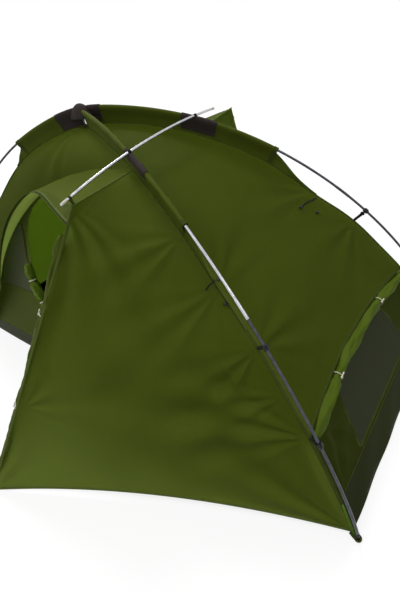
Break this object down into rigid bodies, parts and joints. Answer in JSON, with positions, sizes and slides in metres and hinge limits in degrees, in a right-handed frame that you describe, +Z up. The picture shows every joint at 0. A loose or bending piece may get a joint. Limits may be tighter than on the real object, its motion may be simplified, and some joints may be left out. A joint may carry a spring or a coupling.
{
  "type": "tent",
  "caption": "Low dome tent on crossed bent poles with a short ridge pole, open zipped vestibule with its door rolled back, mesh end window with rolled flap, and raised groundsheet.",
  "frame": {"origin": "middle of the groundsheet's underside, on the ground, midway between the pole feet", "axes": "+X along the tent's length towards the end with the mesh window, -Y towards the open door, +Z up"},
  "size_m": [2.2763, 2, 1.1354],
  "materials": {
    "anodised_alloy": "anodised, satin",
    "black_webbing": "woven webbing",
    "cream_toggle": "moulded, smooth",
    "floor_cloth": "coated cloth, satin",
    "grey_net": "fine net, matte",
    "olive_inner": "plain weave, matte",
    "olive_ripstop": "ripstop, faint sheen",
    "olive_ripstop_front": "ripstop, faint sheen",
    "scuff_patch": "plain weave, matte",
    "shock_cord": "braided cover, matte",
    "tip_alloy": "dark anodised",
    "zip_alloy": "dull cast metal"
  },
  "bodies": {
    "tent": {"apex_tie": "black_webbing", "corner_tab_far_left": "black_webbing", "corner_tab_far_right": "black_webbing", "corner_tab_near_left": "black_webbing", "corner_tab_near_right": "black_webbing", "crossing_patch": "scuff_patch", "door_roll": "olive_ripstop", "end_flap_roll": "olive_ripstop", "end_net": "grey_net", "far_door": "olive_ripstop_front", "far_roof": "olive_ripstop", "far_vestibule": "olive_ripstop_front", "far_wall": "olive_inner", "groundsheet": "floor_cloth", "left_end": "olive_ripstop", "left_wall": "olive_inner", "near_roof": "olive_ripstop", "near_vestibule": "olive_ripstop_front", "near_wall": "olive_inner", "pole_a_section_1": "anodised_alloy", "pole_a_section_2": "anodised_alloy", "pole_a_section_3": "anodised_alloy", "pole_a_section_4": "anodised_alloy", "pole_a_section_5": "anodised_alloy", "pole_b_section_1": "anodised_alloy", "pole_b_section_2": "anodised_alloy", "pole_b_section_3": "anodised_alloy", "pole_b_section_4": "anodised_alloy", "pole_b_section_5": "anodised_alloy", "pole_tip_far_left": "tip_alloy", "pole_tip_far_right": "tip_alloy", "pole_tip_near_left": "tip_alloy", "pole_tip_near_right": "tip_alloy", "ridge_loop_far": "black_webbing", "ridge_loop_near": "black_webbing", "right_end": "olive_ripstop", "right_wall": "olive_inner", "shock_cord_a": "shock_cord", "shock_cord_b": "shock_cord", "side_net": "grey_net", "sleeve_far_left": "olive_ripstop", "sleeve_far_right": "olive_ripstop", "sleeve_near_left": "olive_ripstop", "sleeve_near_right": "olive_ripstop"},
    "door_pull": {"door_pull": "black_webbing"},
    "door_slider": {"door_slider": "zip_alloy"},
    "door_toggle_lower": {"door_toggle_lower": "cream_toggle"},
    "door_toggle_upper": {"door_toggle_upper": "cream_toggle"},
    "end_toggle_far": {"end_toggle_far": "cream_toggle"},
    "end_toggle_near": {"end_toggle_near": "cream_toggle"},
    "pole_clip_far_left_1": {"pole_clip_far_left_1": "black_webbing"},
    "pole_clip_far_left_2": {"pole_clip_far_left_2": "black_webbing"},
    "pole_clip_far_right_1": {"pole_clip_far_right_1": "black_webbing"},
    "pole_clip_far_right_2": {"pole_clip_far_right_2": "black_webbing"},
    "pole_clip_near_left_1": {"pole_clip_near_left_1": "black_webbing"},
    "pole_clip_near_left_2": {"pole_clip_near_left_2": "black_webbing"},
    "pole_clip_near_right_1": {"pole_clip_near_right_1": "black_webbing"},
    "pole_clip_near_right_2": {"pole_clip_near_right_2": "black_webbing"},
    "ridge_pole": {"ridge_pole": "anodised_alloy"}
  },
  "joints": [
    {"name": "ridge_pole_slide", "type": "hinge", "parent": "tent", "child": "ridge_pole", "pos_m": [0.33, 0, -1.36291], "axis": [1, 0, 0], "range_deg": [-0.4, 2]},
    {"name": "clip_turn_near_right_1", "type": "hinge", "parent": "tent", "child": "pole_clip_near_right_1", "pos_m": [0.87176, -0.37677, 0.57971], "axis": [0.5958, -0.2184, -0.7729], "range_deg": [-15, 15]},
    {"name": "clip_turn_near_right_2", "type": "hinge", "parent": "tent", "child": "pole_clip_near_right_2", "pos_m": [1.02669, -0.43305, 0.33339], "axis": [0.4397, -0.1582, -0.8841], "range_deg": [-15, 15]},
    {"name": "clip_turn_far_right_1", "type": "hinge", "parent": "tent", "child": "pole_clip_far_right_1", "pos_m": [0.87179, 0.37678, 0.57968], "axis": [0.5958, 0.2184, -0.7729], "range_deg": [-15, 15]},
    {"name": "clip_turn_far_right_2", "type": "hinge", "parent": "tent", "child": "pole_clip_far_right_2", "pos_m": [1.02656, 0.433, 0.33365], "axis": [0.4399, 0.1583, -0.884], "range_deg": [-15, 15]},
    {"name": "clip_turn_near_left_1", "type": "hinge", "parent": "tent", "child": "pole_clip_near_left_1", "pos_m": [-0.91381, -0.3768, 0.57985], "axis": [0.5278, 0.2311, 0.8174], "range_deg": [-15, 15]},
    {"name": "clip_turn_near_left_2", "type": "hinge", "parent": "tent", "child": "pole_clip_near_left_2", "pos_m": [-1.04347, -0.43304, 0.3335], "axis": [0.3794, 0.163, 0.9108], "range_deg": [-15, 15]},
    {"name": "clip_turn_far_left_1", "type": "hinge", "parent": "tent", "child": "pole_clip_far_left_1", "pos_m": [-0.91386, 0.37682, 0.57976], "axis": [0.5277, -0.231, 0.8174], "range_deg": [-15, 15]},
    {"name": "clip_turn_far_left_2", "type": "hinge", "parent": "tent", "child": "pole_clip_far_left_2", "pos_m": [-1.04338, 0.433, 0.3337], "axis": [0.3795, -0.1631, 0.9107], "range_deg": [-15, 15]},
    {"name": "end_toggle_near_turn", "type": "hinge", "parent": "tent", "child": "end_toggle_near", "pos_m": [0.97333, -0.18785, 0.31582], "axis": [-0.0599, 0.9972, 0.0457], "range_deg": [-30, 30]},
    {"name": "end_toggle_far_turn", "type": "hinge", "parent": "tent", "child": "end_toggle_far", "pos_m": [0.97333, 0.18785, 0.31582], "axis": [0.0599, 0.9972, -0.0457], "range_deg": [-30, 30]},
    {"name": "door_toggle_upper_turn", "type": "hinge", "parent": "tent", "child": "door_toggle_upper", "pos_m": [0.18532, -0.5995, 0.65281], "axis": [-0.3336, -0.4687, -0.818], "range_deg": [-30, 30]},
    {"name": "door_toggle_lower_turn", "type": "hinge", "parent": "tent", "child": "door_toggle_lower", "pos_m": [0.04932, -0.78706, 0.32999], "axis": [-0.3474, -0.4732, -0.8096], "range_deg": [-30, 30]},
    {"name": "door_zip", "type": "slide", "parent": "tent", "child": "door_slider", "axis": [-0.743, -0.0492, -0.6675], "range_m": [-0.2, 0.26]},
    {"name": "door_pull_swing", "type": "hinge", "parent": "door_slider", "child": "door_pull", "pos_m": [-0.85228, -0.44878, 0.24322], "axis": [-0.645, -0.2133, 0.7338], "range_deg": [-12, 110]}
  ]
}
